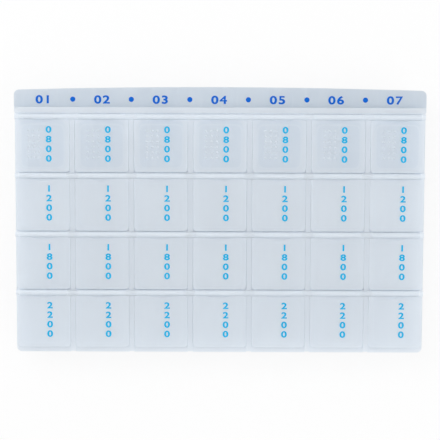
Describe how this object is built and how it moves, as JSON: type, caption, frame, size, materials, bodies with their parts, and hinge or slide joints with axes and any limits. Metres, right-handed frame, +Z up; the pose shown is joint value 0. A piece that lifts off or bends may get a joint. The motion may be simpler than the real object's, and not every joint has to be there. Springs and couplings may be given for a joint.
{
  "type": "weekly pill organizer",
  "caption": "Flat translucent tray of tapered wells laid out by day and dose, each closed by its own snap-hinged flip lid, with a lower header shelf along the rear.",
  "frame": {"origin": "centre of the bounding box at the bottoms of the wells", "axes": "+X along the week from the first day to the last, +Y towards the header shelf, +Z up"},
  "size_m": [0.222, 0.144, 0.0266],
  "materials": {
    "tray_plastic": "frosted translucent pale blue plastic",
    "lid_plastic": "frosted translucent pale blue plastic"
  },
  "bodies": {
    "tray": {"tray": "tray_plastic"},
    "lid_sunday_morning": {"lid_sunday_morning": "lid_plastic"},
    "lid_monday_morning": {"lid_monday_morning": "lid_plastic"},
    "lid_tuesday_morning": {"lid_tuesday_morning": "lid_plastic"},
    "lid_wednesday_morning": {"lid_wednesday_morning": "lid_plastic"},
    "lid_thursday_morning": {"lid_thursday_morning": "lid_plastic"},
    "lid_friday_morning": {"lid_friday_morning": "lid_plastic"},
    "lid_saturday_morning": {"lid_saturday_morning": "lid_plastic"},
    "lid_sunday_noon": {"lid_sunday_noon": "lid_plastic"},
    "lid_monday_noon": {"lid_monday_noon": "lid_plastic"},
    "lid_tuesday_noon": {"lid_tuesday_noon": "lid_plastic"},
    "lid_wednesday_noon": {"lid_wednesday_noon": "lid_plastic"},
    "lid_thursday_noon": {"lid_thursday_noon": "lid_plastic"},
    "lid_friday_noon": {"lid_friday_noon": "lid_plastic"},
    "lid_saturday_noon": {"lid_saturday_noon": "lid_plastic"},
    "lid_sunday_evening": {"lid_sunday_evening": "lid_plastic"},
    "lid_monday_evening": {"lid_monday_evening": "lid_plastic"},
    "lid_tuesday_evening": {"lid_tuesday_evening": "lid_plastic"},
    "lid_wednesday_evening": {"lid_wednesday_evening": "lid_plastic"},
    "lid_thursday_evening": {"lid_thursday_evening": "lid_plastic"},
    "lid_friday_evening": {"lid_friday_evening": "lid_plastic"},
    "lid_saturday_evening": {"lid_saturday_evening": "lid_plastic"},
    "lid_sunday_bedtime": {"lid_sunday_bedtime": "lid_plastic"},
    "lid_monday_bedtime": {"lid_monday_bedtime": "lid_plastic"},
    "lid_tuesday_bedtime": {"lid_tuesday_bedtime": "lid_plastic"},
    "lid_wednesday_bedtime": {"lid_wednesday_bedtime": "lid_plastic"},
    "lid_thursday_bedtime": {"lid_thursday_bedtime": "lid_plastic"},
    "lid_friday_bedtime": {"lid_friday_bedtime": "lid_plastic"},
    "lid_saturday_bedtime": {"lid_saturday_bedtime": "lid_plastic"}
  },
  "joints": [
    {"name": "hinge_sunday_morning", "type": "hinge", "parent": "tray", "child": "lid_sunday_morning", "pos_m": [-0.0954, 0.0561, 0.025], "axis": [-1, 0, 0], "range_deg": [0, 110]},
    {"name": "hinge_monday_morning", "type": "hinge", "parent": "tray", "child": "lid_monday_morning", "pos_m": [-0.0636, 0.0561, 0.025], "axis": [-1, 0, 0], "range_deg": [0, 110]},
    {"name": "hinge_tuesday_morning", "type": "hinge", "parent": "tray", "child": "lid_tuesday_morning", "pos_m": [-0.0318, 0.0561, 0.025], "axis": [-1, 0, 0], "range_deg": [0, 110]},
    {"name": "hinge_wednesday_morning", "type": "hinge", "parent": "tray", "child": "lid_wednesday_morning", "pos_m": [0, 0.0561, 0.025], "axis": [-1, 0, 0], "range_deg": [0, 110]},
    {"name": "hinge_thursday_morning", "type": "hinge", "parent": "tray", "child": "lid_thursday_morning", "pos_m": [0.0318, 0.0561, 0.025], "axis": [-1, 0, 0], "range_deg": [0, 110]},
    {"name": "hinge_friday_morning", "type": "hinge", "parent": "tray", "child": "lid_friday_morning", "pos_m": [0.0636, 0.0561, 0.025], "axis": [-1, 0, 0], "range_deg": [0, 110]},
    {"name": "hinge_saturday_morning", "type": "hinge", "parent": "tray", "child": "lid_saturday_morning", "pos_m": [0.0954, 0.0561, 0.025], "axis": [-1, 0, 0], "range_deg": [0, 110]},
    {"name": "hinge_sunday_noon", "type": "hinge", "parent": "tray", "child": "lid_sunday_noon", "pos_m": [-0.0954, 0.0243, 0.025], "axis": [-1, 0, 0], "range_deg": [0, 110]},
    {"name": "hinge_monday_noon", "type": "hinge", "parent": "tray", "child": "lid_monday_noon", "pos_m": [-0.0636, 0.0243, 0.025], "axis": [-1, 0, 0], "range_deg": [0, 110]},
    {"name": "hinge_tuesday_noon", "type": "hinge", "parent": "tray", "child": "lid_tuesday_noon", "pos_m": [-0.0318, 0.0243, 0.025], "axis": [-1, 0, 0], "range_deg": [0, 110]},
    {"name": "hinge_wednesday_noon", "type": "hinge", "parent": "tray", "child": "lid_wednesday_noon", "pos_m": [0, 0.0243, 0.025], "axis": [-1, 0, 0], "range_deg": [0, 110]},
    {"name": "hinge_thursday_noon", "type": "hinge", "parent": "tray", "child": "lid_thursday_noon", "pos_m": [0.0318, 0.0243, 0.025], "axis": [-1, 0, 0], "range_deg": [0, 110]},
    {"name": "hinge_friday_noon", "type": "hinge", "parent": "tray", "child": "lid_friday_noon", "pos_m": [0.0636, 0.0243, 0.025], "axis": [-1, 0, 0], "range_deg": [0, 110]},
    {"name": "hinge_saturday_noon", "type": "hinge", "parent": "tray", "child": "lid_saturday_noon", "pos_m": [0.0954, 0.0243, 0.025], "axis": [-1, 0, 0], "range_deg": [0, 110]},
    {"name": "hinge_sunday_evening", "type": "hinge", "parent": "tray", "child": "lid_sunday_evening", "pos_m": [-0.0954, -0.0075, 0.025], "axis": [-1, 0, 0], "range_deg": [0, 110]},
    {"name": "hinge_monday_evening", "type": "hinge", "parent": "tray", "child": "lid_monday_evening", "pos_m": [-0.0636, -0.0075, 0.025], "axis": [-1, 0, 0], "range_deg": [0, 110]},
    {"name": "hinge_tuesday_evening", "type": "hinge", "parent": "tray", "child": "lid_tuesday_evening", "pos_m": [-0.0318, -0.0075, 0.025], "axis": [-1, 0, 0], "range_deg": [0, 110]},
    {"name": "hinge_wednesday_evening", "type": "hinge", "parent": "tray", "child": "lid_wednesday_evening", "pos_m": [0, -0.0075, 0.025], "axis": [-1, 0, 0], "range_deg": [0, 110]},
    {"name": "hinge_thursday_evening", "type": "hinge", "parent": "tray", "child": "lid_thursday_evening", "pos_m": [0.0318, -0.0075, 0.025], "axis": [-1, 0, 0], "range_deg": [0, 110]},
    {"name": "hinge_friday_evening", "type": "hinge", "parent": "tray", "child": "lid_friday_evening", "pos_m": [0.0636, -0.0075, 0.025], "axis": [-1, 0, 0], "range_deg": [0, 110]},
    {"name": "hinge_saturday_evening", "type": "hinge", "parent": "tray", "child": "lid_saturday_evening", "pos_m": [0.0954, -0.0075, 0.025], "axis": [-1, 0, 0], "range_deg": [0, 110]},
    {"name": "hinge_sunday_bedtime", "type": "hinge", "parent": "tray", "child": "lid_sunday_bedtime", "pos_m": [-0.0954, -0.0393, 0.025], "axis": [-1, 0, 0], "range_deg": [0, 110]},
    {"name": "hinge_monday_bedtime", "type": "hinge", "parent": "tray", "child": "lid_monday_bedtime", "pos_m": [-0.0636, -0.0393, 0.025], "axis": [-1, 0, 0], "range_deg": [0, 110]},
    {"name": "hinge_tuesday_bedtime", "type": "hinge", "parent": "tray", "child": "lid_tuesday_bedtime", "pos_m": [-0.0318, -0.0393, 0.025], "axis": [-1, 0, 0], "range_deg": [0, 110]},
    {"name": "hinge_wednesday_bedtime", "type": "hinge", "parent": "tray", "child": "lid_wednesday_bedtime", "pos_m": [0, -0.0393, 0.025], "axis": [-1, 0, 0], "range_deg": [0, 110]},
    {"name": "hinge_thursday_bedtime", "type": "hinge", "parent": "tray", "child": "lid_thursday_bedtime", "pos_m": [0.0318, -0.0393, 0.025], "axis": [-1, 0, 0], "range_deg": [0, 110]},
    {"name": "hinge_friday_bedtime", "type": "hinge", "parent": "tray", "child": "lid_friday_bedtime", "pos_m": [0.0636, -0.0393, 0.025], "axis": [-1, 0, 0], "range_deg": [0, 110]},
    {"name": "hinge_saturday_bedtime", "type": "hinge", "parent": "tray", "child": "lid_saturday_bedtime", "pos_m": [0.0954, -0.0393, 0.025], "axis": [-1, 0, 0], "range_deg": [0, 110]}
  ]
}
